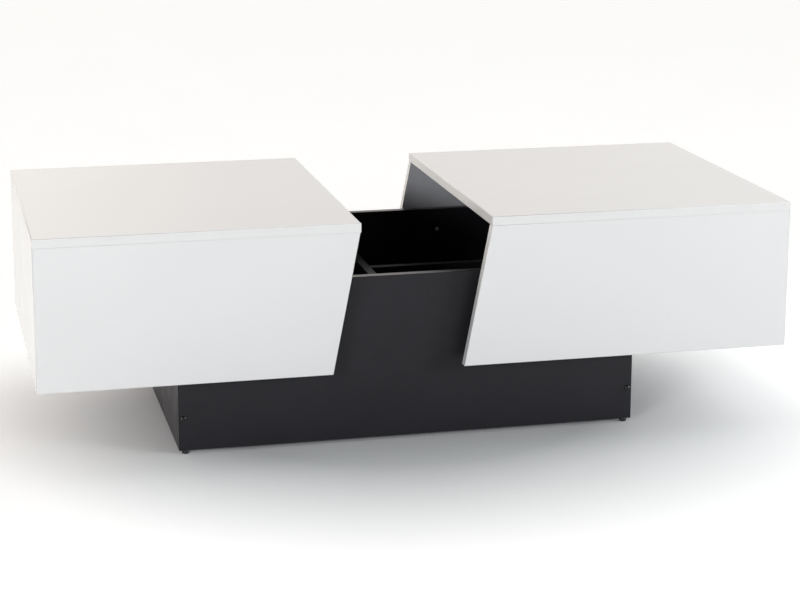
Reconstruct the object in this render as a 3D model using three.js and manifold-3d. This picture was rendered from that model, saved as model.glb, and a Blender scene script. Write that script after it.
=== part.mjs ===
// Coffee table with a storage base and two covers that slide apart along X.
// Millimetres, +Z up, -Y is the front. The origin is on the floor, at the middle of the open table.
import * as THREE from 'three';
import { mergeVertices } from 'three/addons/utils/BufferGeometryUtils.js';
import Module from 'manifold-3d';

const wasm = await Module();
wasm.setup();

// Whole table
const BOARD = 16;
const TABLE_DEPTH = 600;
const TABLE_HEIGHT = 400;
const COVER_LENGTH = 550;
const COVER_HEIGHT = 263;
const SEAM_LEAN = 47.5;
const SEAM_SETBACK = 1.5;
const OPENINGS = { left: 97, right: 133 };

// Base carcass
const BASE_LENGTH = 816;
const BASE_HEIGHT = 290;
const BASE_INSET = 40;
const GLIDE_HEIGHT = 7;
const FLOOR_RAISE = 20;
const DIVIDER_TOP = 224;
const LONG_DIVIDER_Y = 96;

// Ball-bearing runners
const RUNNER_LENGTH = 236;
const RUNNER_START = 170;
const RUNNER_Z = 256;
const RUNNER_THICKNESS = 12.7;
const BATTEN_HEIGHT = 50;
const STEEL = 1.2;
const RAIL_HEIGHT = 45;
const SLIDER_HEIGHT = 30;
const RAIL_DEPTH = 10.7;
const SLIDER_DEPTH = 10.2;
const CAGE_LENGTH = 98;
const CAGE_START = 238;
const CAGE_STRIP = 0.6;
const CAGE_DEPTH = 8.2;
const BALL_RADIUS = 3;
const BALLS_PER_ROW = 4;
const BALL_PITCH = 28;
const BALL_SIDES = 8;
const BALL_RINGS = 6;

// Fasteners
const BOLT = { headRadius: 5.5, headHeight: 3, shankRadius: 2.5, shankLength: 42 };
const BOLT_X = 400;
const BOLT_HEIGHTS = { low: 64, high: 190 };
const SCREW = { headRadius: 4, headHeight: 2.2, shankRadius: 2, shankLength: 25 };
const SCREW_XS = { inner: 177, outer: 385 };
const NAIL = { radius: 1.1, length: 14 };
const GLIDE = { radius: 6.5, footRadius: 4.5, x: 396, y: 252 };
const CAM = { radius: 7.3, depth: 12, drop: 34, positions: { inner: 70, outer: 490 } };
const HOLE_CLEARANCE = 0.3;
const DRILL_OVERRUN = 2;

// Worked-out levels and faces
const BASE_HALF = BASE_LENGTH / 2;
const BASE_TOP = GLIDE_HEIGHT + BASE_HEIGHT;
const COVER_BOTTOM = TABLE_HEIGHT - COVER_HEIGHT;
const TOP_UNDERSIDE = TABLE_HEIGHT - BOARD;
const COVER_FACE = TABLE_DEPTH / 2;
const COVER_INSIDE = COVER_FACE - BOARD;
const BASE_FACE = COVER_FACE - BASE_INSET;
const BASE_INSIDE = BASE_FACE - BOARD;
const RAIL_BACK = COVER_INSIDE - RUNNER_THICKNESS;
const RAIL_WEB = RAIL_BACK + STEEL;
const COMPARTMENT_FLOOR = GLIDE_HEIGHT + FLOOR_RAISE + BOARD;
const BALL_ROW = (RAIL_HEIGHT / 2 - STEEL + SLIDER_HEIGHT / 2) / 2;
const SIDES = { left: -1, right: 1 };
const FACES = { front: -1, back: 1 };
const ROUND_SEGMENTS = 16;

const white = new THREE.MeshStandardMaterial({ color: 0xe8e5e2, roughness: 0.12, metalness: 0 });
const anthracite = new THREE.MeshStandardMaterial({ color: 0x323136, roughness: 0.45, metalness: 0 });
const steel = new THREE.MeshStandardMaterial({ color: 0xb4b6b8, roughness: 0.35, metalness: 1 });
const darkSteel = new THREE.MeshStandardMaterial({ color: 0x3a3a3c, roughness: 0.4, metalness: 1 });
const blackPlastic = new THREE.MeshStandardMaterial({ color: 0x1b1b1c, roughness: 0.5, metalness: 0 });
const rawBoard = new THREE.MeshStandardMaterial({ color: 0xb08d62, roughness: 0.8, metalness: 0 });

// A named piece with a material of its own.
function piece(parent, name, geometry, material) {
  const mesh = new THREE.Mesh(geometry, material.clone());
  mesh.name = name;
  parent.add(mesh);
}

// A plain board between two corners.
function board([x0, x1], [y0, y1], [z0, z1]) {
  const geometry = new THREE.BoxGeometry(x1 - x0, y1 - y0, z1 - z0);
  return geometry.translate((x0 + x1) / 2, (y0 + y1) / 2, (z0 + z1) / 2);
}

// A range between a * sign and b * sign, in rising order.
function span(sign, a, b) {
  return [sign * a, sign * b].sort((low, high) => low - high);
}

// An outline given as [x, z] points, extruded along Y from y0 to y0 - thickness.
function uprightPlate(points, y0, thickness) {
  const shape = new THREE.Shape(points.map(([x, z]) => new THREE.Vector2(x, z)));
  const geometry = new THREE.ExtrudeGeometry(shape, { depth: thickness, bevelEnabled: false });
  return geometry.rotateX(Math.PI / 2).translate(0, y0, 0);
}

// An outline given as [y, z] points, extruded along X from x0 to x0 + length.
function profileAlongX(points, x0, length) {
  const shape = new THREE.Shape(points.map(([y, z]) => new THREE.Vector2(y, z)));
  const geometry = new THREE.ExtrudeGeometry(shape, { depth: length, bevelEnabled: false });
  const toX = new THREE.Matrix4().makeBasis(
    new THREE.Vector3(0, 1, 0),
    new THREE.Vector3(0, 0, 1),
    new THREE.Vector3(1, 0, 0),
  );
  return geometry.applyMatrix4(toX).translate(x0, 0, 0);
}

// A round rod along Y at (x, z), for drilling.
function drillAlongY(radius, x, z, [y0, y1]) {
  const geometry = new THREE.CylinderGeometry(radius, radius, y1 - y0, ROUND_SEGMENTS);
  return geometry.translate(x, (y0 + y1) / 2, z);
}

// A round rod along Z at (x, y), for drilling.
function drillAlongZ(radius, x, y, [z0, z1]) {
  const geometry = new THREE.CylinderGeometry(radius, radius, z1 - z0, ROUND_SEGMENTS);
  return geometry.rotateX(Math.PI / 2).translate(x, y, (z0 + z1) / 2);
}

function toSolid(geometry) {
  const bare = geometry.clone();
  bare.deleteAttribute('normal');
  bare.deleteAttribute('uv');
  const merged = mergeVertices(bare);
  const vertProperties = new Float32Array(merged.attributes.position.array);
  const triVerts = new Uint32Array(merged.index.array);
  return new wasm.Manifold(new wasm.Mesh({ numProp: 3, vertProperties, triVerts }));
}

function toGeometry(solid) {
  const { vertProperties, triVerts } = solid.getMesh();
  const geometry = new THREE.BufferGeometry();
  geometry.setAttribute('position', new THREE.BufferAttribute(vertProperties, 3));
  geometry.setIndex(new THREE.BufferAttribute(triVerts, 1));
  geometry.computeVertexNormals();
  return geometry;
}

function drilled(geometry, drills) {
  return toGeometry(drills.reduce((solid, drill) => solid.subtract(toSolid(drill)), toSolid(geometry)));
}

function joined(geometry, additions) {
  return toGeometry(additions.reduce((solid, extra) => solid.add(toSolid(extra)), toSolid(geometry)));
}

// A domed head below y = 0 and a round shank above it, turned about Y.
function headedPin({ headRadius, headHeight, shankRadius, shankLength }) {
  const profile = [new THREE.Vector2(0, shankLength)];
  profile.push(new THREE.Vector2(shankRadius, shankLength));
  profile.push(new THREE.Vector2(shankRadius, 0));
  const steps = 4;
  for (let i = 0; i <= steps; i += 1) {
    const angle = (i / steps) * (Math.PI / 2);
    const radius = i === steps ? 0 : headRadius * Math.cos(angle);
    profile.push(new THREE.Vector2(radius, -headHeight * Math.sin(angle)));
  }
  return new THREE.LatheGeometry(profile.reverse(), ROUND_SEGMENTS);
}

// A headed pin whose head sits flat on the plane y and whose shank points along shankSign * Y.
function placedPin(pin, x, y, z, shankSign) {
  const geometry = headedPin(pin);
  if (shankSign < 0) {
    geometry.rotateX(Math.PI);
  }
  return geometry.translate(x, y, z);
}

// A flat nail-on glide with a rounded foot, on the floor at z = 0.
function glide(x, y) {
  const profile = [
    new THREE.Vector2(0, 0),
    new THREE.Vector2(GLIDE.footRadius, 0),
    new THREE.Vector2(GLIDE.radius, GLIDE_HEIGHT / 2),
    new THREE.Vector2(GLIDE.radius, GLIDE_HEIGHT),
    new THREE.Vector2(NAIL.radius, GLIDE_HEIGHT),
    new THREE.Vector2(NAIL.radius, GLIDE_HEIGHT + NAIL.length),
    new THREE.Vector2(0, GLIDE_HEIGHT + NAIL.length),
  ];
  return new THREE.LatheGeometry(profile, ROUND_SEGMENTS).rotateX(Math.PI / 2).translate(x, y, 0);
}

// [y, z] outline of an open channel: its web's back is at |y| = web, its flanges reach web + depth.
function channelProfile(face, height, web, depth) {
  const half = height / 2;
  const webSide = Math.sign(depth) * STEEL;
  const points = [
    [web, -half],
    [web + depth, -half],
    [web + depth, -half + STEEL],
    [web + webSide, -half + STEEL],
    [web + webSide, half - STEEL],
    [web + depth, half - STEEL],
    [web + depth, half],
    [web, half],
  ];
  return points.map(([y, z]) => [face * y, RUNNER_Z + z]);
}

// Where the slanted seam between the closed covers crosses a given height, under their tops.
function seamX(z) {
  return (-SEAM_LEAN * (TOP_UNDERSIDE - z)) / (TOP_UNDERSIDE - COVER_BOTTOM);
}

const base = new THREE.Group();

// Front and back panels run the base's full length and are drilled for bolts, screws and glide nails.
function addLongPanel(faceName, face) {
  const through = span(face, BASE_INSIDE - DRILL_OVERRUN, BASE_FACE + DRILL_OVERRUN);
  const drills = [];
  for (const side of Object.values(SIDES)) {
    for (const z of Object.values(BOLT_HEIGHTS)) {
      drills.push(drillAlongY(BOLT.shankRadius + HOLE_CLEARANCE, side * BOLT_X, z, through));
    }
    for (const x of Object.values(SCREW_XS)) {
      drills.push(drillAlongY(SCREW.shankRadius + HOLE_CLEARANCE, side * x, RUNNER_Z, through));
    }
    const nailHole = [GLIDE_HEIGHT - DRILL_OVERRUN, GLIDE_HEIGHT + NAIL.length + HOLE_CLEARANCE];
    drills.push(drillAlongZ(NAIL.radius + HOLE_CLEARANCE, side * GLIDE.x, face * GLIDE.y, nailHole));
  }
  const plain = board([-BASE_HALF, BASE_HALF], span(face, BASE_INSIDE, BASE_FACE), [GLIDE_HEIGHT, BASE_TOP]);
  piece(base, `base_${faceName}_panel`, drilled(plain, drills), anthracite);
}

// End panels stand between the long panels and take the bolts in their edges.
function addBaseEnd(sideName, side) {
  const drills = [];
  for (const face of Object.values(FACES)) {
    const tip = BASE_FACE - BOLT.shankLength - HOLE_CLEARANCE;
    const blind = span(face, tip, BASE_INSIDE + DRILL_OVERRUN);
    for (const z of Object.values(BOLT_HEIGHTS)) {
      drills.push(drillAlongY(BOLT.shankRadius + HOLE_CLEARANCE, side * BOLT_X, z, blind));
    }
  }
  const across = span(side, BASE_HALF - BOARD, BASE_HALF);
  const plain = board(across, [-BASE_INSIDE, BASE_INSIDE], [GLIDE_HEIGHT, BASE_TOP]);
  piece(base, `base_${sideName}_panel`, drilled(plain, drills), anthracite);
}

function addInterior() {
  const inside = BASE_HALF - BOARD;
  const half = BOARD / 2;
  const wholeDepth = [-BASE_INSIDE, BASE_INSIDE];
  const dividerHeight = [COMPARTMENT_FLOOR, DIVIDER_TOP];
  const floorHeight = [GLIDE_HEIGHT + FLOOR_RAISE, COMPARTMENT_FLOOR];
  const longWidth = [LONG_DIVIDER_Y - half, LONG_DIVIDER_Y + half];
  piece(base, 'base_bottom_panel', board([-inside, inside], wholeDepth, floorHeight), anthracite);
  piece(base, 'cross_divider', board([-half, half], wholeDepth, dividerHeight), anthracite);
  piece(base, 'long_divider', board([half, inside], longWidth, dividerHeight), anthracite);
}

// Bolts, glide, batten, screws and fixed rail at one corner of the base.
function addBaseCorner(sideName, side, faceName, face) {
  const corner = `${sideName}_${faceName}`;
  for (const [level, z] of Object.entries(BOLT_HEIGHTS)) {
    const bolt = placedPin(BOLT, side * BOLT_X, face * BASE_FACE, z, -face);
    piece(base, `panel_bolt_${corner}_${level}`, bolt, darkSteel);
  }
  piece(base, `glide_${corner}`, glide(side * GLIDE.x, face * GLIDE.y), blackPlastic);

  const along = span(side, RUNNER_START, RUNNER_START + RUNNER_LENGTH);
  const tall = [RUNNER_Z - BATTEN_HEIGHT / 2, RUNNER_Z + BATTEN_HEIGHT / 2];
  const screwTip = BASE_INSIDE + SCREW.shankLength;
  const drills = Object.values(SCREW_XS).map((x) => {
    const blind = span(face, BASE_FACE - DRILL_OVERRUN, screwTip + HOLE_CLEARANCE);
    return drillAlongY(SCREW.shankRadius + HOLE_CLEARANCE, side * x, RUNNER_Z, blind);
  });
  const batten = drilled(board(along, span(face, BASE_FACE, RAIL_BACK), tall), drills);
  piece(base, `spacer_batten_${corner}`, batten, rawBoard);
  for (const [place, x] of Object.entries(SCREW_XS)) {
    const screw = placedPin(SCREW, side * x, face * BASE_INSIDE, RUNNER_Z, face);
    piece(base, `batten_screw_${corner}_${place}`, screw, steel);
  }
  const rail = channelProfile(face, RAIL_HEIGHT, RAIL_BACK, RAIL_DEPTH);
  piece(base, `runner_rail_${corner}`, profileAlongX(rail, along[0], RUNNER_LENGTH), steel);
}

// Front or back panel of a cover, slanted along the seam, with pockets for its cam locks.
// The left cover's panels stand back from the seam, so that the slants don't rub when they meet.
function coverPanel(side, face) {
  const end = side * COVER_LENGTH;
  const setback = side === SIDES.left ? SEAM_SETBACK : 0;
  const outline = [
    [end, COVER_BOTTOM],
    [seamX(COVER_BOTTOM) - setback, COVER_BOTTOM],
    [seamX(TOP_UNDERSIDE) - setback, TOP_UNDERSIDE],
    [end, TOP_UNDERSIDE],
  ];
  const upperY = Math.max(face * COVER_INSIDE, face * COVER_FACE);
  const pocket = span(face, COVER_INSIDE - DRILL_OVERRUN, COVER_INSIDE + CAM.depth + HOLE_CLEARANCE);
  const drills = Object.values(CAM.positions).map((x) => (
    drillAlongY(CAM.radius + HOLE_CLEARANCE, side * x, TOP_UNDERSIDE - CAM.drop, pocket)
  ));
  return drilled(uprightPlate(outline, upperY, BOARD), drills);
}

// One cover in its closed place, with its seam's upper edge at x = 0.
function addCover(cover, sideName, side) {
  const whole = span(side, 0, COVER_LENGTH);
  const top = board(whole, [-COVER_FACE, COVER_FACE], [TOP_UNDERSIDE, TABLE_HEIGHT]);
  piece(cover, `${sideName}_top`, top, white);
  const across = span(side, COVER_LENGTH - BOARD, COVER_LENGTH);
  const end = board(across, [-COVER_INSIDE, COVER_INSIDE], [COVER_BOTTOM, TOP_UNDERSIDE]);
  piece(cover, `${sideName}_end_panel`, end, white);
  for (const [faceName, face] of Object.entries(FACES)) {
    piece(cover, `${sideName}_${faceName}_panel`, coverPanel(side, face), white);
    addCamLocks(cover, sideName, side, faceName, face);
    const along = span(side, RUNNER_START, RUNNER_START + RUNNER_LENGTH);
    const slider = channelProfile(face, SLIDER_HEIGHT, COVER_INSIDE, -SLIDER_DEPTH);
    const sliderGeometry = profileAlongX(slider, along[0], RUNNER_LENGTH);
    piece(cover, `runner_slider_${sideName}_${faceName}`, sliderGeometry, steel);
  }
}

// Round cam locks let into the inner face of a cover panel, under the top.
function addCamLocks(cover, sideName, side, faceName, face) {
  const depth = span(face, COVER_INSIDE, COVER_INSIDE + CAM.depth);
  for (const [place, x] of Object.entries(CAM.positions)) {
    const cam = drillAlongY(CAM.radius, side * x, TOP_UNDERSIDE - CAM.drop, depth);
    piece(cover, `cam_lock_${sideName}_${faceName}_${place}`, cam, steel);
  }
}

// A ball cage of one runner: a thin strip bent into lips that hold two rows of balls.
function runnerCage(side, face) {
  const sliderMouth = COVER_INSIDE - SLIDER_DEPTH;
  const back = (RAIL_WEB + sliderMouth - CAGE_STRIP) / 2;
  const along = span(side, CAGE_START, CAGE_START + CAGE_LENGTH);
  const lip = CAGE_STRIP / 2;
  const web = board(
    along,
    span(face, back, back + CAGE_STRIP),
    [RUNNER_Z - BALL_ROW - lip, RUNNER_Z + BALL_ROW + lip],
  );
  const additions = [];
  for (const row of [-BALL_ROW, BALL_ROW]) {
    const z = RUNNER_Z + row;
    additions.push(board(along, span(face, back, back + CAGE_DEPTH), [z - lip, z + lip]));
    for (let i = 0; i < BALLS_PER_ROW; i += 1) {
      const x = side * (CAGE_START + CAGE_LENGTH / 2 + (i - (BALLS_PER_ROW - 1) / 2) * BALL_PITCH);
      const ball = new THREE.SphereGeometry(BALL_RADIUS, BALL_SIDES, BALL_RINGS);
      additions.push(ball.rotateX(Math.PI / 2).translate(x, face * (back + CAGE_DEPTH / 2 + lip), z));
    }
  }
  return joined(web, additions);
}

function addCages(cages, sideName, side) {
  for (const [faceName, face] of Object.entries(FACES)) {
    piece(cages, `runner_cage_${sideName}_${faceName}`, runnerCage(side, face), steel);
  }
}

const table = new THREE.Group();
table.position.x = (OPENINGS.left - OPENINGS.right) / 2;
table.add(base);
for (const [faceName, face] of Object.entries(FACES)) {
  addLongPanel(faceName, face);
}
addInterior();
for (const [sideName, side] of Object.entries(SIDES)) {
  addBaseEnd(sideName, side);
  for (const [faceName, face] of Object.entries(FACES)) {
    addBaseCorner(sideName, side, faceName, face);
  }
  const travel = side * OPENINGS[sideName];
  const cover = new THREE.Group();
  cover.position.x = travel;
  addCover(cover, sideName, side);
  const cages = new THREE.Group();
  cages.position.x = travel / 2;
  addCages(cages, sideName, side);
  table.add(cover, cages);
}

export default table;
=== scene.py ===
# A coffee table whose two white covers slide apart over a dark storage base: boards with edge
# bands, runners, fasteners and glides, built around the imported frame.
# Metres, +Z up, -Y is the front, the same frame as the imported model.
import math

import bmesh
import bpy
from mathutils import Matrix, Vector


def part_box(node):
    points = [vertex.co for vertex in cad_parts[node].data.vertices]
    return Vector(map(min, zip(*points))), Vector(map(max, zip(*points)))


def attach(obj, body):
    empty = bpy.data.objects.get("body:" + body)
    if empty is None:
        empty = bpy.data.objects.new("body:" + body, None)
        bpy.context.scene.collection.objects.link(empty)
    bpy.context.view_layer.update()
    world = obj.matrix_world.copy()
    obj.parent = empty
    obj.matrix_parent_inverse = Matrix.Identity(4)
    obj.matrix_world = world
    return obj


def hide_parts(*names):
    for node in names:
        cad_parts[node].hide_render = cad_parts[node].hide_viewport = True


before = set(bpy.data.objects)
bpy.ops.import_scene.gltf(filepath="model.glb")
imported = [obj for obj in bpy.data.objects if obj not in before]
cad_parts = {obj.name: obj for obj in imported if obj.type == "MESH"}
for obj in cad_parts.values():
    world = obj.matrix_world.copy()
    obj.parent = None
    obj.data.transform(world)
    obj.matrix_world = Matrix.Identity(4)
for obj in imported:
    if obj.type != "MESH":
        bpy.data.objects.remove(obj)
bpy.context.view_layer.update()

MM = 0.001
SIDE_SIGN = {"left": -1, "right": 1}
FACE_SIGN = {"front": -1, "back": 1}
CORNERS = [(side, face) for side in SIDE_SIGN for face in FACE_SIGN]

# Edge bands: thickness, rounding of their outer arrises, and the fine groove where two parts meet
BAND = 1.0 * MM
ARRIS = 0.8 * MM
ARRIS_SEGMENTS = 3
HAIRLINE = 0.12 * MM

# How closely a corner of a CAD board has to lie at a height to count as being there
SAME_LEVEL = 0.1 * MM

# Positions in a board's list of looks
LOW_LOOK, HIGH_LOOK, BAND_LOOK, END_BAND_LOOK, RAW_LOOK = range(5)

# Which sides of a board have an edge band, in the order bottom, right, top, left
NO_BANDS = (False, False, False, False)
ALL_BANDS = (True, True, True, True)
ONLY_TOP = (False, False, True, False)
ONLY_BOTTOM = (True, False, False, False)
TOP_AND_BOTTOM = (True, False, True, False)
ALL_BUT_TOP = (True, True, False, True)

# Round fittings
RIM_SEGMENTS = 40
SMOOTH_BELOW = math.radians(40)
HOLE_CLEARANCE = 0.3 * MM
OVERRUN = 2.0 * MM

# Panel bolts and batten screws: shank radius, thread, the rim under the domed head, and the drive
# recess, whose cutter starts above the head's crown
BOLT_SHANK = 2.5 * MM
BOLT_THREAD = {"pitch": 1.6 * MM, "depth": 0.4 * MM}
BOLT_RIM = 0.5 * MM
BOLT_SOCKET = {"radius": 1.75 * MM, "above": 1.0 * MM, "depth": 2.4 * MM}
SCREW_SHANK = 2.0 * MM
SCREW_THREAD = {"pitch": 1.8 * MM, "depth": 0.5 * MM}
SCREW_RIM = 0.6 * MM
SCREW_CROSS = {"length": 4.8 * MM, "width": 1.0 * MM, "above": 0.5 * MM, "depth": 2.4 * MM}

# Countersunk runner screws
RUNNER_SCREW = {
    "shank": 1.5 * MM, "core": 1.1 * MM, "head": 2.9 * MM, "rim": 0.2 * MM, "length": 10 * MM,
}
RUNNER_THREAD = {"pitch": 1.2 * MM, "depth": 0.4 * MM}
RUNNER_CROSS = {"length": 3.2 * MM, "width": 0.7 * MM, "above": 0.5 * MM, "depth": 1.6 * MM}
RUNNER_SCREW_INSET = 34 * MM

# Cam locks: outline from the back edge to the face as (distance in from the rim, height), cross
# recess, and the arrow mark on the face
CAM_RADIUS = 7.3 * MM
CAM_DEPTH = 12.0 * MM
CAM_OUTLINE = (
    (0.8 * MM, -12.0 * MM), (0.0, -11.2 * MM), (0.0, -5.0 * MM), (1.2 * MM, -4.4 * MM),
    (1.2 * MM, -2.6 * MM), (0.0, -2.0 * MM), (0.0, -0.4 * MM), (0.4 * MM, 0.0),
    (1.4 * MM, 0.0), (1.7 * MM, -0.5 * MM), (2.2 * MM, -0.5 * MM), (2.5 * MM, 0.0),
)
CAM_CROSS = {"length": 7.0 * MM, "width": 1.6 * MM, "above": 1.0 * MM, "depth": 4.0 * MM}
CAM_ARROW = {"out": 4.2 * MM, "radius": 0.7 * MM, "above": 1.0 * MM, "depth": 0.6 * MM}
END_CAM_Y = 180 * MM

# Nail-on glides
GLIDE_ROUNDING = {"across": 2.5 * MM, "up": 2.8 * MM, "steps": 6}
GLIDE_CHAMFER = 0.3 * MM
NAIL_RADIUS = 1.1 * MM
NAIL_POINT = 2.5 * MM

# Runner channels and ball cages
SHEET = 1.2 * MM
BEND_RADIUS = 1.8 * MM
LIP = 1.4 * MM
CAGE_SHEET = 0.6 * MM
CAGE_DEPTH = 8.2 * MM
CAGE_BEND = 1.2 * MM
BALL_RADIUS = 3.0 * MM
BALLS_PER_ROW = 4
BALL_PITCH = 28 * MM

# Camera: place, then yaw, pitch and roll in degrees, lens and sensor in millimetres
CAMERA_PLACE = (-0.85496, -3.62711, 1.16817)
CAMERA_ANGLES = (13.631, 12.605, 0.189)
CAMERA_LENS = 93.222
CAMERA_SENSOR = 36.0
CAMERA_SHIFT = -0.1

# Room: soft glows around the horizon, each by its direction, how wide it reaches as a cosine, its
# brightness and its colour
ROOM_GLOWS = (
    ((0.0, 0.97, 0.24), 0.3, 1.3, (1.0, 0.95, 0.92)),
    ((0.96, 0.0, 0.29), 0.3, 1.15, (0.92, 1.0, 1.03)),
    ((-0.7, 0.7, 0.13), 0.6, 1.6, (1.0, 0.89, 0.76)),
)

# Softboxes: name, place, what it points at, width and height, watts, colour
SOFTBOXES = (
    ("front_softbox", (-2.77, -3.55, 1.3), (0, 0, 0.35), (1.2, 0.6), 63, (0.98, 0.98, 1.0)),
    ("right_softbox", (3.8, -2.8, 1.1), (0, 0, 0.35), (1.6, 0.8), 82, (0.97, 0.98, 1.0)),
)

# Floor: a wide disc, and a glow that rises between two distances from the table's middle
FLOOR_RADIUS = 30.0
FLOOR_SEGMENTS = 96
FLOOR_GLOW = {"start": 0.4, "stop": 0.8, "low": 0.0, "high": 0.38}


# ---------------------------------------------------------------- materials

class Finish:
    """A procedural material: a Principled shader and the nodes that feed it."""

    def __init__(self, name, base, roughness, metallic=0.0, specular=0.5):
        self.material = bpy.data.materials.new(name)
        self.material.use_nodes = True
        self.nodes = self.material.node_tree.nodes
        self.links = self.material.node_tree.links
        self.shader = self.nodes["Principled BSDF"]
        self.shader.inputs["Base Color"].default_value = (*base, 1.0)
        self.shader.inputs["Roughness"].default_value = roughness
        self.shader.inputs["Metallic"].default_value = metallic
        self.shader.inputs["Specular IOR Level"].default_value = specular
        self.place = self.nodes.new("ShaderNodeTexCoord").outputs["Object"]

    def stretched(self, scale):
        """Object coordinates scaled along each axis."""
        node = self.nodes.new("ShaderNodeMapping")
        node.inputs["Scale"].default_value = scale
        self.links.new(self.place, node.inputs["Vector"])
        return node.outputs["Vector"]

    def noise(self, scale, detail=3.0, rough=0.5, where=None):
        node = self.nodes.new("ShaderNodeTexNoise")
        node.inputs["Scale"].default_value = scale
        node.inputs["Detail"].default_value = detail
        node.inputs["Roughness"].default_value = rough
        self.links.new(where or self.place, node.inputs["Vector"])
        return node.outputs["Fac"]

    def cells(self, scale, where=None):
        node = self.nodes.new("ShaderNodeTexVoronoi")
        node.inputs["Scale"].default_value = scale
        self.links.new(where or self.place, node.inputs["Vector"])
        return node.outputs["Distance"]

    def shades(self, value, stops):
        """The value turned into a colour by (position, rgb) stops."""
        node = self.nodes.new("ShaderNodeValToRGB")
        elements = node.color_ramp.elements
        while len(elements) < len(stops):
            elements.new(1.0)
        for element, (position, rgb) in zip(elements, stops):
            element.position = position
            element.color = (*rgb, 1.0)
        self.links.new(value, node.inputs["Fac"])
        self.links.new(node.outputs["Color"], self.shader.inputs["Base Color"])

    def ramp(self, value, socket, start, stop, low, high):
        """The shader's socket from low to high as the value goes from start to stop."""
        node = self.nodes.new("ShaderNodeMapRange")
        node.inputs["From Min"].default_value = start
        node.inputs["From Max"].default_value = stop
        node.inputs["To Min"].default_value = low
        node.inputs["To Max"].default_value = high
        self.links.new(value, node.inputs["Value"])
        self.links.new(node.outputs["Result"], self.shader.inputs[socket])

    def sheen_range(self, value, low, high, start=0.3, stop=0.7):
        """Roughness from low to high as the value goes from start to stop."""
        self.ramp(value, "Roughness", start, stop, low, high)

    def relief(self, *layers):
        """Bump from (height, distance, strength) layers."""
        normal = None
        for height, distance, strength in layers:
            node = self.nodes.new("ShaderNodeBump")
            node.inputs["Distance"].default_value = distance
            node.inputs["Strength"].default_value = strength
            self.links.new(height, node.inputs["Height"])
            if normal is not None:
                self.links.new(normal, node.inputs["Normal"])
            normal = node.outputs["Normal"]
        self.links.new(normal, self.shader.inputs["Normal"])


def varied(rgb, amount, low=0.35, high=0.65):
    """Two colour stops, a little darker and a little lighter than the colour."""
    return [
        (low, tuple(c * (1 - amount) for c in rgb)),
        (high, tuple(min(1.0, c * (1 + amount)) for c in rgb)),
    ]


def white_gloss():
    """Glossy foil with a faint orange peel and patches of slightly softer sheen."""
    base = (0.735, 0.735, 0.735)
    finish = Finish("white_gloss_foil", base, 0.18)
    finish.shades(finish.noise(3.0, 4.0), varied(base, 0.01))
    finish.sheen_range(finish.noise(6.0, 2.0), 0.16, 0.19)
    finish.relief((finish.noise(45.0, 1.0), 0.0001, 0.04))
    return finish.material


def white_band():
    """Edge band that matches the foil, a little softer, with fine lines along it."""
    base = (0.735, 0.735, 0.73)
    finish = Finish("white_edge_band", base, 0.18)
    streaks = finish.noise(60.0, 4.0, 0.6, finish.stretched((1.0, 1.0, 6.0)))
    finish.shades(streaks, varied(base, 0.01))
    finish.sheen_range(streaks, 0.2, 0.25)
    finish.relief((finish.noise(700.0, 2.0), 0.00002, 0.1))
    return finish.material


def melamine(name, base, roughness, specular):
    """Satin melamine: a fine pearl texture and faint clouding."""
    finish = Finish(name, base, roughness, specular=specular)
    finish.shades(finish.noise(14.0, 8.0, 0.7), varied(base, 0.06))
    finish.sheen_range(finish.noise(25.0, 4.0), roughness - 0.05, roughness + 0.05)
    finish.relief((finish.cells(1400.0), 0.00005, 0.25), (finish.noise(300.0, 3.0), 0.00004, 0.3))
    return finish.material


def anthracite_band():
    """Dark edge band, smooth enough to mirror the room at a low angle."""
    base = (0.025, 0.025, 0.027)
    finish = Finish("anthracite_edge_band", base, 0.3, specular=0.15)
    streaks = finish.noise(80.0, 4.0, 0.6, finish.stretched((0.2, 1.0, 4.0)))
    finish.shades(streaks, varied(base, 0.12))
    finish.sheen_range(streaks, 0.26, 0.34)
    finish.relief((finish.noise(900.0, 2.0), 0.00002, 0.2))
    return finish.material


def chipboard():
    """Raw chipboard: pressed flakes in mixed wood tones, open between them."""
    finish = Finish("raw_chipboard", (0.45, 0.3, 0.16), 0.85, specular=0.2)
    flakes = finish.cells(260.0, finish.stretched((0.6, 1.0, 1.6)))
    finish.shades(finish.noise(330.0, 5.0, 0.7), [
        (0.25, (0.24, 0.13, 0.06)),
        (0.42, (0.4, 0.25, 0.13)),
        (0.6, (0.52, 0.36, 0.2)),
        (0.75, (0.6, 0.45, 0.28)),
    ])
    finish.sheen_range(flakes, 0.7, 0.95, 0.0, 0.7)
    finish.relief((flakes, 0.0004, 0.6), (finish.noise(900.0, 4.0), 0.0001, 0.5))
    return finish.material


def plated_steel(name, base, roughness):
    """Zinc-plated steel: patchy plating and fine rolling lines."""
    finish = Finish(name, base, roughness, metallic=1.0)
    finish.shades(finish.cells(140.0), varied(base, 0.14, 0.1, 0.7))
    lines = finish.noise(260.0, 4.0, 0.6, finish.stretched((0.06, 1.0, 1.0)))
    finish.sheen_range(lines, roughness - 0.07, roughness + 0.1)
    finish.relief((lines, 0.00003, 0.3))
    return finish.material


def zinc_flake():
    """Screw heads coated with zinc flake: a pale matte grey that stays light in the shade."""
    base = (0.5, 0.5, 0.51)
    finish = Finish("zinc_flake_coating", base, 0.5, metallic=0.15)
    grain = finish.noise(1100.0, 4.0, 0.6)
    finish.shades(grain, varied(base, 0.12))
    finish.sheen_range(grain, 0.42, 0.58)
    finish.relief((grain, 0.00003, 0.4))
    return finish.material


def black_steel():
    """Black-lacquered steel: smooth and dark, with thin spots in the lacquer."""
    base = (0.009, 0.009, 0.01)
    finish = Finish("black_lacquered_steel", base, 0.16)
    cloud = finish.noise(500.0, 5.0, 0.6)
    finish.shades(cloud, varied(base, 0.35))
    finish.sheen_range(cloud, 0.12, 0.2)
    finish.relief((finish.noise(2500.0, 2.0), 0.00002, 0.4))
    return finish.material


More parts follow.
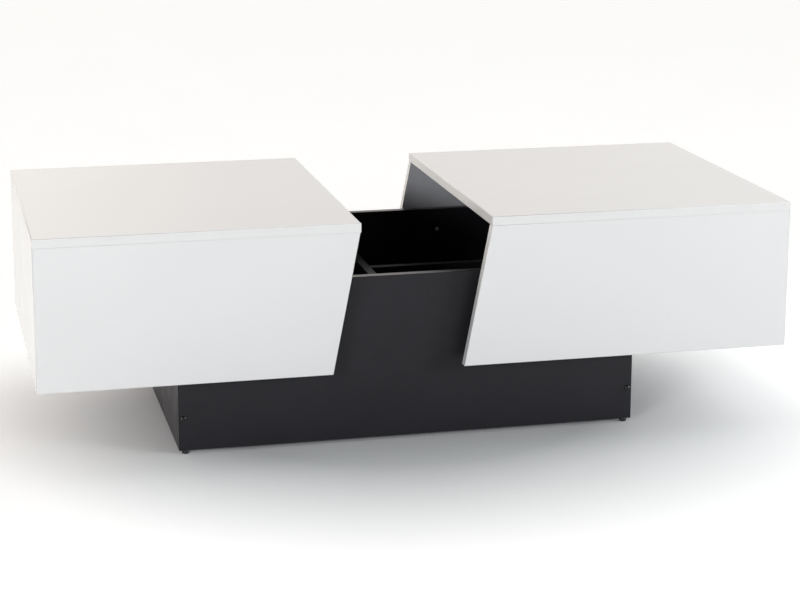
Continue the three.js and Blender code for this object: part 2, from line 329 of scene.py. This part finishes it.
def moulded_plastic():
    """Moulded polyethylene: matte, with a slight grain and scuffs."""
    base = (0.014, 0.014, 0.015)
    finish = Finish("black_polyethylene", base, 0.5)
    scuffs = finish.noise(350.0, 6.0, 0.7)
    finish.shades(scuffs, varied(base, 0.3))
    finish.sheen_range(scuffs, 0.42, 0.62)
    finish.relief((finish.noise(1800.0, 3.0), 0.00003, 0.5))
    return finish.material


def die_cast():
    """Die-cast zinc: dull grey with a granular skin."""
    base = (0.42, 0.42, 0.43)
    finish = Finish("die_cast_zinc", base, 0.42, metallic=1.0)
    grain = finish.noise(900.0, 5.0, 0.7)
    finish.shades(grain, varied(base, 0.2))
    finish.sheen_range(grain, 0.36, 0.52)
    finish.relief((grain, 0.00004, 0.5))
    return finish.material


def studio_floor():
    """Plain pale floor that glows faintly beyond the table, so that its shadows stay light."""
    base = (0.88, 0.88, 0.88)
    finish = Finish("studio_floor", base, 0.75, specular=0.1)
    distance = finish.nodes.new("ShaderNodeVectorMath")
    distance.operation = "LENGTH"
    finish.links.new(finish.place, distance.inputs[0])
    finish.shader.inputs["Emission Color"].default_value = (1.0, 1.0, 1.0, 1.0)
    finish.ramp(distance.outputs["Value"], "Emission Strength", **FLOOR_GLOW)
    finish.shades(finish.noise(2.0, 3.0), varied(base, 0.008))
    finish.sheen_range(finish.noise(6.0, 3.0), 0.7, 0.8)
    finish.relief((finish.noise(90.0, 3.0), 0.0001, 0.2))
    return finish.material


WHITE = white_gloss()
WHITE_BAND = white_band()
INNER = melamine("white_inner_melamine", (0.66, 0.67, 0.7), 0.4, 0.5)
DARK = melamine("anthracite_melamine", (0.019, 0.0185, 0.0225), 0.42, 0.2)
DARK_BAND = anthracite_band()
CHIPBOARD = chipboard()
ZINC = plated_steel("zinc_plated_steel", (0.52, 0.53, 0.55), 0.3)
BALL_STEEL = plated_steel("polished_ball_steel", (0.6, 0.6, 0.61), 0.14)
BOLT_STEEL = black_steel()
SCREW_COAT = zinc_flake()
CAST_ZINC = die_cast()
PLASTIC = moulded_plastic()

WHITE_LOOKS = {
    -1: (WHITE, INNER, WHITE_BAND, WHITE_BAND, CHIPBOARD),
    1: (INNER, WHITE, WHITE_BAND, WHITE_BAND, CHIPBOARD),
}
DARK_LOOKS = (DARK, DARK, DARK_BAND, DARK, CHIPBOARD)
RAW_LOOKS = (CHIPBOARD,) * 5


# ---------------------------------------------------------------- mesh helpers

def plan(u, v, w):
    """A flat board: the outline is (x, y), the thickness runs along z."""
    return Vector((u, v, w))


def facing(u, v, w):
    """A front or back board: the outline is (x, z), the thickness runs along y."""
    return Vector((u, w, v))


def endwise(u, v, w):
    """An end board: the outline is (y, z), the thickness runs along x."""
    return Vector((w, u, v))


def mesh_from(name, bm, materials):
    bmesh.ops.recalc_face_normals(bm, faces=bm.faces)
    mesh = bpy.data.meshes.new(name)
    bm.to_mesh(mesh)
    bm.free()
    for material in materials:
        mesh.materials.append(material)
    return mesh


def put(name, mesh, body, replaced=(), matrix=None):
    """An object of the mesh that rides on a body and stands for the replaced CAD nodes."""
    piece = bpy.data.objects.new(name, mesh)
    bpy.context.scene.collection.objects.link(piece)
    if matrix is not None:
        piece.matrix_world = matrix
    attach(piece, body)
    if replaced:
        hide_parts(*replaced)
    return piece


def join_rings(bm, lower, upper):
    """A closed solid between two rings of vertices. Returns its end faces and its side faces."""
    caps = [bm.faces.new(lower[::-1]), bm.faces.new(upper)]
    walls = []
    for i in range(len(lower)):
        j = (i + 1) % len(lower)
        walls.append(bm.faces.new((lower[i], lower[j], upper[j], upper[i])))
    return caps, walls


def add_prism(bm, outline, low, high, to_space):
    """The outline raised from low to high. Returns its two end faces and its side faces."""
    rings = [[bm.verts.new(to_space(u, v, w)) for u, v in outline] for w in (low, high)]
    return join_rings(bm, *rings)


def soften(bm, edges, width, segments, look):
    """Rounds the edges, gives the rounding the look and shades it smoothly."""
    made = bmesh.ops.bevel(
        bm, geom=edges, offset=width, offset_type="OFFSET", segments=segments,
        profile=0.5, affect="EDGES", clamp_overlap=True, material=look,
    )
    for face in made["faces"]:
        face.smooth = True


def shared_edge(face_a, face_b):
    return next(edge for edge in face_a.edges if edge in face_b.edges)


def inset_corner(outline, insets, i):
    """Corner i of an anticlockwise outline after each side has moved inwards by its inset."""
    before, here, after = (Vector(outline[(i + k) % len(outline)]) for k in (-1, 0, 1))
    into, out = (here - before).normalized(), (after - here).normalized()
    on_in = here + Vector((-into.y, into.x)) * insets[i - 1]
    on_out = here + Vector((-out.y, out.x)) * insets[i]
    gap = on_out - on_in
    along = (gap.x * out.y - gap.y * out.x) / (into.x * out.y - into.y * out.x)
    return tuple(on_in + into * along)


def add_band(bm, outline, insets, side, low, high, to_space):
    """The edge band on one side. Bands on sides 0 and 2 reach over the ends of the others."""
    end = (side + 1) % 4
    across = [inset if k % 2 == 0 else 0.0 for k, inset in enumerate(insets)]
    outer = [0.0] * 4 if side % 2 == 0 else [0.0 if k == side else across[k] for k in range(4)]
    inner = [insets[k] if k == side else outer[k] for k in range(4)]
    strip = [
        inset_corner(outline, outer, side),
        inset_corner(outline, outer, end),
        inset_corner(outline, inner, end),
        inset_corner(outline, inner, side),
    ]
    look = BAND_LOOK if side % 2 == 0 else END_BAND_LOOK
    caps, walls = add_prism(bm, strip, low, high, to_space)
    for face in caps + walls:
        face.material_index = look
    arrises = [shared_edge(walls[0], cap) for cap in caps]
    if side % 2 == 0:
        arrises += [shared_edge(walls[0], walls[1]), shared_edge(walls[0], walls[3])]
    soften(bm, arrises, ARRIS, ARRIS_SEGMENTS, look)


def add_rod(bm, start, end, radius, segments=RIM_SEGMENTS):
    axis = end - start
    turn = axis.to_track_quat("Z", "Y").to_matrix().to_4x4()
    place = Matrix.Translation((start + end) / 2) @ turn
    bmesh.ops.create_cone(
        bm, cap_ends=True, segments=segments, radius1=radius, radius2=radius,
        depth=axis.length, matrix=place,
    )


def cut(bm, cutter, look):
    """The bmesh with the cutter taken away; the cut faces get the look."""
    for face in cutter.faces:
        face.material_index = look
    slots = [None] * (look + 1)
    meshes = [mesh_from("cut", shape, slots) for shape in (bm, cutter)]
    body, tool = (bpy.data.objects.new("cut", mesh) for mesh in meshes)
    for thing in (body, tool):
        bpy.context.scene.collection.objects.link(thing)
    boolean = body.modifiers.new("cut", "BOOLEAN")
    boolean.operation = "DIFFERENCE"
    boolean.solver = "EXACT"
    boolean.object = tool
    bpy.context.view_layer.update()
    result = bmesh.new()
    result.from_object(body, bpy.context.evaluated_depsgraph_get())
    for thing in (body, tool):
        mesh = thing.data
        bpy.data.objects.remove(thing)
        bpy.data.meshes.remove(mesh)
    return result


def board(node, body, outline, low, high, to_space, looks, banded, rods=()):
    """A coated board with edge bands on the chosen sides and round holes where the rods are.

    The outline runs anticlockwise: side 0 is the bottom or front, 1 the right, 2 the top or back,
    3 the left. The looks are those of the low face, the high face, the bands along the outline's
    bottom and top, the bands at its ends, and the bare core.
    """
    insets = [BAND if side else 0.0 for side in banded]
    core = bmesh.new()
    caps, walls = add_prism(
        core, [inset_corner(outline, insets, i) for i in range(4)], low, high, to_space)
    caps[0].material_index, caps[1].material_index = LOW_LOOK, HIGH_LOOK
    for wall in walls:
        wall.material_index = RAW_LOOK
    for cap, look in zip(caps, (LOW_LOOK, HIGH_LOOK)):
        soften(core, list(cap.edges), HAIRLINE, 1, look)
    if rods:
        cutter = bmesh.new()
        for rod in rods:
            add_rod(cutter, *rod)
        core = cut(core, cutter, RAW_LOOK)
    for side in range(4):
        if banded[side]:
            add_band(core, outline, insets, side, low, high, to_space)
    return put(f"{node}_board", mesh_from(node, core, looks), body, (node,))


def turned(profile, segments=RIM_SEGMENTS):
    """A round solid: (radius, height) pairs turned about Z, closed at both ends."""
    bm = bmesh.new()
    rings = []
    for radius, height in profile:
        if radius == 0:
            rings.append([bm.verts.new((0, 0, height))])
        else:
            angles = (2 * math.pi * i / segments for i in range(segments))
            rings.append([bm.verts.new((radius * math.cos(a), radius * math.sin(a), height))
                          for a in angles])
    for lower, upper in zip(rings, rings[1:]):
        for i in range(segments):
            j = (i + 1) % segments
            corners = [lower[i % len(lower)], lower[j % len(lower)],
                       upper[j % len(upper)], upper[i % len(upper)]]
            bm.faces.new(list(dict.fromkeys(corners)))
    return bm


def rectangle(low, high):
    return [(low[0], low[1]), (high[0], low[1]), (high[0], high[1]), (low[0], high[1])]


def centre(node):
    low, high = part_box(node)
    return (low + high) / 2


def skins(node):
    """The y of a front or back board's inner and outer faces."""
    low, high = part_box(node)
    return (high.y, low.y) if low.y < 0 else (low.y, high.y)


def hole_for(pin, shank):
    """The hole for a pin along Y: a little wider than its shank and past both its ends."""
    low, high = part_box(pin)
    middle = centre(pin)
    start = Vector((middle.x, low.y - OVERRUN, middle.z))
    return start, Vector((middle.x, high.y + OVERRUN, middle.z)), shank + HOLE_CLEARANCE


def bolts(side, face):
    return [f"panel_bolt_{side}_{face}_{level}" for level in ("low", "high")]


def batten_screws(side, face):
    return [f"batten_screw_{side}_{face}_{place}" for place in ("inner", "outer")]


def cams(side, face):
    return [f"cam_lock_{side}_{face}_{place}" for place in ("inner", "outer")]


# ---------------------------------------------------------------- boards of the base

def make_long_panel(face):
    node = f"base_{face}_panel"
    low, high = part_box(node)
    rods = [hole_for(pin, BOLT_SHANK) for side in SIDE_SIGN for pin in bolts(side, face)]
    rods += [hole_for(pin, SCREW_SHANK) for side in SIDE_SIGN for pin in batten_screws(side, face)]
    board(node, "base", rectangle((low.x, low.z), (high.x, high.z)), low.y, high.y, facing,
          DARK_LOOKS, ALL_BANDS, rods)


def make_base_end(side):
    node = f"base_{side}_panel"
    low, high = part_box(node)
    rods = [hole_for(pin, BOLT_SHANK) for face in FACE_SIGN for pin in bolts(side, face)]
    board(node, "base", rectangle((low.y, low.z), (high.y, high.z)), low.x, high.x, endwise,
          DARK_LOOKS, TOP_AND_BOTTOM, rods)


def make_interior():
    low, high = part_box("base_bottom_panel")
    board("base_bottom_panel", "base", rectangle(low.xy, high.xy), low.z, high.z, plan,
          DARK_LOOKS, NO_BANDS)
    low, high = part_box("cross_divider")
    board("cross_divider", "base", rectangle((low.y, low.z), (high.y, high.z)), low.x, high.x,
          endwise, DARK_LOOKS, ONLY_TOP)
    low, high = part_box("long_divider")
    board("long_divider", "base", rectangle((low.x, low.z), (high.x, high.z)), low.y, high.y,
          facing, DARK_LOOKS, ONLY_TOP)


# ---------------------------------------------------------------- boards of the covers

def end_of_edge(node, height, side):
    """Where the slanted edge of a cover panel is at the height: the x nearest the other cover."""
    corners = [vert.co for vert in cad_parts[node].data.vertices]
    level = [corner.x for corner in corners if abs(corner.z - height) < SAME_LEVEL]
    return max(level) if side == "left" else min(level)


def make_cover_panel(side, face):
    node = f"{side}_{face}_panel"
    low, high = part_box(node)
    slanted = [end_of_edge(node, height, side) for height in (low.z, high.z)]
    if side == "left":
        outline = [(low.x, low.z), (slanted[0], low.z), (slanted[1], high.z), (low.x, high.z)]
    else:
        outline = [(slanted[0], low.z), (high.x, low.z), (high.x, high.z), (slanted[1], high.z)]
    inner, outer = skins(node)
    into = FACE_SIGN[face]
    rods = []
    for cam in cams(side, face):
        middle = centre(cam)
        start = Vector((middle.x, inner - into * OVERRUN, middle.z))
        deep = Vector((middle.x, inner + into * (CAM_DEPTH + HOLE_CLEARANCE), middle.z))
        rods.append((start, deep, CAM_RADIUS + HOLE_CLEARANCE))
    # The upper edge is sealed white, since it shows at the seam.
    looks = (*WHITE_LOOKS[into][:RAW_LOOK], WHITE_BAND)
    board(node, f"{side}_cover", outline, low.y, high.y, facing, looks,
          ALL_BUT_TOP, rods)


def make_cover_top(side):
    node = f"{side}_top"
    low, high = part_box(node)
    board(node, f"{side}_cover", rectangle(low.xy, high.xy), low.z, high.z, plan,
          WHITE_LOOKS[1], ALL_BANDS)


def end_cams(side):
    """Centres of the two cam locks in the inner face of a cover's end panel."""
    low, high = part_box(f"{side}_end_panel")
    x = high.x if side == "left" else low.x
    return [Vector((x, y, centre(cams(side, "front")[0]).z)) for y in (-END_CAM_Y, END_CAM_Y)]


def make_cover_end(side):
    node = f"{side}_end_panel"
    low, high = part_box(node)
    into = Vector((SIDE_SIGN[side], 0, 0))
    rods = []
    for place in end_cams(side):
        deep = place + into * (CAM_DEPTH + HOLE_CLEARANCE)
        rods.append((place - into * OVERRUN, deep, CAM_RADIUS + HOLE_CLEARANCE))
    board(node, f"{side}_cover", rectangle((low.y, low.z), (high.y, high.z)), low.x, high.x,
          endwise, WHITE_LOOKS[SIDE_SIGN[side]], ONLY_BOTTOM, rods)


# ---------------------------------------------------------------- fasteners and glides

def along_y(point, sign):
    """A place at the point for a part made along +Z, whose head then faces sign * Y."""
    turn = Matrix.Rotation(-sign * math.pi / 2, 4, "X")
    return Matrix.Translation(point) @ turn


def along_x(point, sign):
    """A place at the point for a part made along +Z, whose head then faces sign * X."""
    turn = Matrix.Rotation(sign * math.pi / 2, 4, "Y")
    return Matrix.Translation(point) @ turn


def domed_head(radius, height, rim, steps=7):
    """Profile of a domed head on the plane z = 0, from its rim up to its crown."""
    points = [(radius - 0.15 * rim, 0.0), (radius, 0.15 * rim), (radius, rim)]
    for i in range(1, steps):
        angle = i / steps * math.pi / 2
        points.append((radius * math.cos(angle), rim + (height - rim) * math.sin(angle)))
    return points + [(0, height)]


def threaded_shank(radius, length, pitch, depth):
    """Profile of a shank from its tip up to the head's plane, with thread ridges."""
    points = [(0, -length), (radius - depth, -length + depth)]
    z = -length + depth + pitch / 2
    while z < -2 * pitch:
        points += [(radius, z), (radius - depth, z + pitch / 2)]
        z += pitch
    return points + [(radius - depth, -pitch), (radius - depth, 0)]


def shade_round(bm):
    for face in bm.faces:
        face.smooth = True
    for edge in bm.edges:
        edge.smooth = edge.calc_face_angle(0.0) < SMOOTH_BELOW


def cross_cutter(crown, length, width, above, depth):
    """A cross recess for a head with its crown at that height. It tapers as it goes down."""
    bm = bmesh.new()
    top = crown + above
    rings = []
    for reach, height in ((length / 4, top - depth), (length / 2, top)):
        arm = [(reach, -width / 2), (reach, width / 2), (width / 2, width / 2)]
        turns = [Matrix.Rotation(quarter * math.pi / 2, 3, "Z") for quarter in range(4)]
        places = [turn @ Vector((u, v, height)) for turn in turns for u, v in arm]
        rings.append([bm.verts.new(place) for place in places])
    join_rings(bm, *rings)
    return bm


def hex_cutter(crown, radius, above, depth):
    """A six-sided socket for a head with its crown at that height."""
    bm = bmesh.new()
    top = Vector((0, 0, crown + above))
    add_rod(bm, top - Vector((0, 0, depth)), top, radius, 6)
    return bm


def headed(profile, cutter, name, material):
    """Mesh of a turned fastener with a drive recess cut in its head."""
    bm = cut(turned(profile), cutter, 0)
    shade_round(bm)
    return mesh_from(name, bm, [material])


def head_and_shank(pin, seat):
    """A pin's head radius, its head height and its shank length, either side of the seat."""
    low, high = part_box(pin)
    lengths = sorted((seat - low.y, high.y - seat))
    return (high.z - low.z) / 2, *lengths


def bolt_mesh():
    outer = skins("base_front_panel")[1]
    radius, height, length = head_and_shank("panel_bolt_left_front_low", outer)
    profile = threaded_shank(BOLT_SHANK, length, **BOLT_THREAD)
    profile += domed_head(radius, height, BOLT_RIM)
    return headed(profile, hex_cutter(height, **BOLT_SOCKET), "panel_bolt", BOLT_STEEL)


def batten_screw_mesh():
    inner = skins("base_front_panel")[0]
    radius, height, length = head_and_shank("batten_screw_left_front_inner", inner)
    profile = threaded_shank(SCREW_SHANK, length, **SCREW_THREAD)
    profile += domed_head(radius, height, SCREW_RIM)
    return headed(profile, cross_cutter(height, **SCREW_CROSS), "batten_screw", SCREW_COAT)


def cam_mesh():
    """Cam lock: a chamfered disc with a cross recess, a groove round its face and a mark."""
    profile = [(0, -CAM_DEPTH)]
    profile += [(CAM_RADIUS - inset, height) for inset, height in CAM_OUTLINE]
    profile += [(0, 0)]
    bm = cut(turned(profile), cross_cutter(0, **CAM_CROSS), 0)
    out, radius, above, depth = CAM_ARROW.values()
    arrow = bmesh.new()
    add_rod(arrow, Vector((0, out, -depth)), Vector((0, out, above)), radius, 3)
    bm = cut(bm, arrow, 0)
    shade_round(bm)
    return mesh_from("cam_lock", bm, [CAST_ZINC])


def runner_screw_mesh():
    """Countersunk runner screw, its flat head flush with z = 0."""
    shank, core, head, rim, length = RUNNER_SCREW.values()
    profile = threaded_shank(shank, length, **RUNNER_THREAD)[:-1]
    profile += [(core, core - head), (head, -rim), (head, 0), (0, 0)]
    return headed(profile, cross_cutter(0, **RUNNER_CROSS), "runner_screw", ZINC)


def seat_pin(node, mesh, y, sign, body):
    """The mesh in place of a CAD pin along Y, its head's plane at y, facing sign * Y."""
    middle = centre(node)
    put(f"{node}_detail", mesh, body, (node,), along_y(Vector((middle.x, y, middle.z)), sign))


def make_fasteners():
    bolt, batten_screw, cam = bolt_mesh(), batten_screw_mesh(), cam_mesh()
    for side, face in CORNERS:
        sign = FACE_SIGN[face]
        base_inner, base_outer = skins(f"base_{face}_panel")
        cover_inner = skins(f"{side}_{face}_panel")[0]
        for node in bolts(side, face):
            seat_pin(node, bolt, base_outer, sign, "base")
        for node in batten_screws(side, face):
            seat_pin(node, batten_screw, base_inner, -sign, "base")
        for node in cams(side, face):
            seat_pin(node, cam, cover_inner, -sign, f"{side}_cover")
    for side, sign in SIDE_SIGN.items():
        for place, face in zip(end_cams(side), FACE_SIGN):
            put(f"end_cam_lock_{side}_{face}", cam, f"{side}_cover",
                matrix=along_x(place, -sign))


def make_glides():
    """Nail-on glides: a rounded plastic foot and a steel nail, in one piece."""
    low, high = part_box("glide_left_front")
    radius = (high.x - low.x) / 2
    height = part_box("base_front_panel")[0].z
    across, up, steps = GLIDE_ROUNDING.values()
    profile = [(0, 0)]
    for i in range(steps + 1):
        angle = i / steps * math.pi / 2
        profile.append((radius - across * (1 - math.sin(angle)), up * (1 - math.cos(angle))))
    profile += [(radius, height - GLIDE_CHAMFER), (radius - GLIDE_CHAMFER, height)]
    profile += [(NAIL_RADIUS, height), (NAIL_RADIUS, high.z - NAIL_POINT), (0, high.z)]
    bm = turned(profile)
    for face in bm.faces:
        face.material_index = int(face.calc_center_median().z > height + GLIDE_CHAMFER)
    shade_round(bm)
    mesh = mesh_from("glide", bm, [PLASTIC, ZINC])
    for side, face in CORNERS:
        node = f"glide_{side}_{face}"
        middle = centre(node)
        put(f"{node}_detail", mesh, "base", (node,),
            Matrix.Translation((middle.x, middle.y, 0)))


# ---------------------------------------------------------------- runners and battens

def make_batten(side, face):
    node = f"spacer_batten_{side}_{face}"
    low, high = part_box(node)
    rods = [hole_for(pin, SCREW_SHANK) for pin in batten_screws(side, face)]
    board(node, "base", rectangle((low.x, low.z), (high.x, high.z)), low.y, high.y, facing,
          RAW_LOOKS, NO_BANDS, rods)


def bend(corner_u, corner_v, radius, steps=5):
    """A quarter turn in (across, up), starting at the corner's right and ending below it."""
    turns = [i / steps * math.pi / 2 for i in range(steps + 1)]
    return [(corner_u - radius * math.sin(a), corner_v - radius * math.cos(a)) for a in turns]


def channel_line(height, depth, lip):
    """Middle line of a bent channel in (across, up): web at 0, flanges out to depth.

    With a lip, each flange is turned in at its edge by that much.
    """
    bottom = (SHEET - height) / 2
    lower = [(depth, bottom)]
    if lip:
        edge = depth - SHEET / 2
        radius = BEND_RADIUS / 2
        lower = [(edge, bottom + lip)]
        lower += [(2 * (edge - radius) - u, v)
                  for u, v in reversed(bend(edge - radius, bottom + radius, radius))]
    lower += bend(SHEET / 2 + BEND_RADIUS, bottom + BEND_RADIUS, BEND_RADIUS)
    return lower + [(u, -v) for u, v in reversed(lower)]


def thickened(line, thickness):
    """Closed outline of a sheet bent along the line."""
    left, right = [], []
    for i, point in enumerate(line):
        before, after = line[max(i - 1, 0)], line[min(i + 1, len(line) - 1)]
        way = (Vector(after) - Vector(before)).normalized()
        normal = Vector((-way.y, way.x)) * thickness / 2
        left.append(tuple(Vector(point) + normal))
        right.append(tuple(Vector(point) - normal))
    return left + right[::-1]


def make_channel(node, body, web, direction, lip, screw):
    """A bent steel channel along X, with its web at |y| = web and screws through the web."""
    low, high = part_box(node)
    middle = (low.z + high.z) / 2
    outline = thickened(channel_line(high.z - low.z, high.y - low.y, lip), SHEET)
    outline = [(web + direction * u, middle + v) for u, v in outline]
    bm = bmesh.new()
    add_prism(bm, outline, low.x, high.x, endwise)
    shade_round(bm)
    put(f"{node}_detail", mesh_from(node, bm, [ZINC]), body, (node,))
    inner = web + direction * SHEET
    spots = (low.x + RUNNER_SCREW_INSET, (low.x + high.x) / 2, high.x - RUNNER_SCREW_INSET)
    for count, x in enumerate(spots, 1):
        place = along_y(Vector((x, inner, middle)), direction)
        put(f"{node}_screw_{count}", screw, body, matrix=place)


def make_cage(node, body):
    """Ball cage: a pressed strip with turned-over lips and two rows of balls."""
    low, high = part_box(node)
    back, mouth = skins(node)
    sign = 1 if mouth > back else -1
    rows = [low.z + BALL_RADIUS, high.z - BALL_RADIUS]
    line = []
    for row, turn in zip(rows, (1, -1)):
        half = CAGE_SHEET / 2
        edge = [(CAGE_DEPTH, row), (half + CAGE_BEND, row), (half, row + turn * CAGE_BEND)]
        line += edge if turn > 0 else edge[::-1]
    outline = [(back + sign * u, v) for u, v in thickened(line, CAGE_SHEET)]
    bm = bmesh.new()
    add_prism(bm, outline, low.x, high.x, endwise)
    middle = (low.x + high.x) / 2
    y = back + sign * (CAGE_DEPTH + CAGE_SHEET) / 2
    for row in rows:
        for i in range(BALLS_PER_ROW):
            x = middle + (i - (BALLS_PER_ROW - 1) / 2) * BALL_PITCH
            ball = bmesh.ops.create_icosphere(
                bm, subdivisions=3, radius=BALL_RADIUS, matrix=Matrix.Translation((x, y, row)))
            for face in {face for vert in ball["verts"] for face in vert.link_faces}:
                face.material_index = 1
                face.smooth = True
    put(f"{node}_detail", mesh_from(node, bm, [ZINC, BALL_STEEL]), body, (node,))


def make_runners():
    screw = runner_screw_mesh()
    for side, face in CORNERS:
        sign = FACE_SIGN[face]
        make_batten(side, face)
        rail = f"runner_rail_{side}_{face}"
        make_channel(rail, "base", skins(rail)[0], sign, LIP, screw)
        slider = f"runner_slider_{side}_{face}"
        make_channel(slider, f"{side}_cover", skins(slider)[1], -sign, 0.0, screw)
        make_cage(f"runner_cage_{side}_{face}", f"{side}_cages")


# ---------------------------------------------------------------- studio

def make_floor():
    bm = bmesh.new()
    bmesh.ops.create_circle(bm, cap_ends=True, segments=FLOOR_SEGMENTS, radius=FLOOR_RADIUS)
    mesh = mesh_from("studio_floor", bm, [studio_floor()])
    floor = bpy.data.objects.new("studio_floor", mesh)
    bpy.context.scene.collection.objects.link(floor)


def make_world():
    """A dim room with soft glows around the horizon."""
    world = bpy.data.worlds.new("studio")
    bpy.context.scene.world = world
    world.use_nodes = True
    nodes, links = world.node_tree.nodes, world.node_tree.links
    direction = nodes.new("ShaderNodeTexCoord").outputs["Generated"]
    total = nodes["Background"]
    total.inputs["Strength"].default_value = 0.0
    for middle, edge, brightness, colour in ROOM_GLOWS:
        towards = nodes.new("ShaderNodeVectorMath")
        towards.operation = "DOT_PRODUCT"
        towards.inputs[1].default_value = middle
        links.new(direction, towards.inputs[0])
        falloff = nodes.new("ShaderNodeMapRange")
        falloff.inputs["From Min"].default_value = edge
        falloff.inputs["To Max"].default_value = brightness
        links.new(towards.outputs["Value"], falloff.inputs["Value"])
        glow = nodes.new("ShaderNodeBackground")
        glow.inputs["Color"].default_value = (*colour, 1.0)
        links.new(falloff.outputs["Result"], glow.inputs["Strength"])
        both = nodes.new("ShaderNodeAddShader")
        links.new(total.outputs[0], both.inputs[0])
        links.new(glow.outputs[0], both.inputs[1])
        total = both
    links.new(total.outputs[0], nodes["World Output"].inputs["Surface"])


def soft_light(name, position, target, size, power, colour):
    light = bpy.data.lights.new(name, "AREA")
    light.shape = "RECTANGLE"
    light.size, light.size_y = size
    light.energy = power
    light.color = colour
    lamp = bpy.data.objects.new(name, light)
    bpy.context.scene.collection.objects.link(lamp)
    lamp.location = position
    lamp.rotation_euler = (Vector(target) - Vector(position)).to_track_quat("-Z", "Y").to_euler()
    lamp.visible_camera = False


def make_camera():
    """The camera of the product view: left of the middle, a little above the tops."""
    yaw, pitch, roll = (math.radians(angle) for angle in CAMERA_ANGLES)
    level_way = Vector((math.sin(yaw), math.cos(yaw), 0))
    ahead = level_way * math.cos(pitch) - Vector((0, 0, math.sin(pitch)))
    right = Vector((math.cos(yaw), -math.sin(yaw), 0))
    up = right.cross(ahead)
    level = Matrix((right, up, -ahead)).transposed()
    data = bpy.data.cameras.new("product_view")
    data.lens = CAMERA_LENS
    data.sensor_width = CAMERA_SENSOR
    data.shift_y = CAMERA_SHIFT
    camera = bpy.data.objects.new("product_view", data)
    bpy.context.scene.collection.objects.link(camera)
    turn = level @ Matrix.Rotation(roll, 3, "Z")
    camera.matrix_world = Matrix.Translation(CAMERA_PLACE) @ turn.to_4x4()
    bpy.context.scene.camera = camera


make_long_panel("front")
make_long_panel("back")
make_interior()
for side in SIDE_SIGN:
    make_base_end(side)
    make_cover_top(side)
    make_cover_end(side)
    for face in FACE_SIGN:
        make_cover_panel(side, face)
make_runners()
make_fasteners()
make_glides()

make_floor()
make_world()
for softbox in SOFTBOXES:
    soft_light(*softbox)
make_camera()
bpy.context.scene.view_settings.view_transform = "Standard"
